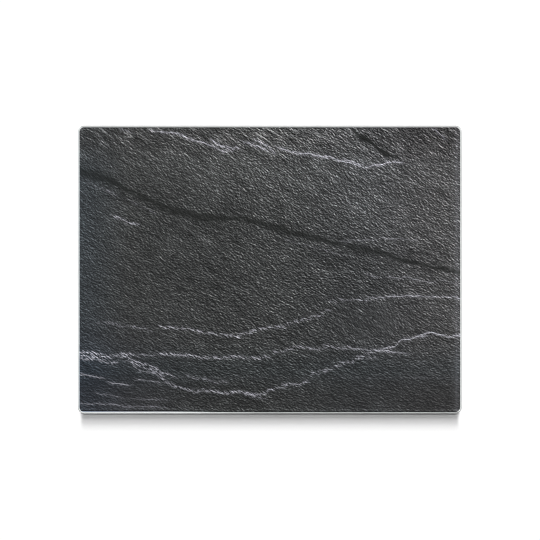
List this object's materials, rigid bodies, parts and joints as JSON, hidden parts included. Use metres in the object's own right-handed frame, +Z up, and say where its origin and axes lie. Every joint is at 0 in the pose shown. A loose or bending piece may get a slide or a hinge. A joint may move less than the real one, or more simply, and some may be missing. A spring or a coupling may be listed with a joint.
{
  "type": "glass cutting board",
  "caption": "Flat rectangular toughened-glass cutting board with rounded ground edges, a dark slate-look print under the glass and low stick-on silicone feet.",
  "frame": {"origin": "on the worktop, under the middle of the board", "axes": "+X along the board's length, +Y along its width towards the rear edge, +Z up through the glass"},
  "size_m": [0.4, 0.3, 0.0083],
  "materials": {
    "glass": "polished",
    "slate_print": "matte",
    "backing": "satin",
    "foot_silicone": "satin",
    "adhesive": "satin"
  },
  "bodies": {
    "root": {"glass_pane": "glass", "slate_decor": "slate_print", "backing_coat": "backing", "foot_front_left": "foot_silicone", "foot_front_right": "foot_silicone", "foot_rear_left": "foot_silicone", "foot_rear_right": "foot_silicone", "foot_adhesive_front_left": "adhesive", "foot_adhesive_front_right": "adhesive", "foot_adhesive_rear_left": "adhesive", "foot_adhesive_rear_right": "adhesive"}
  },
  "joints": []
}
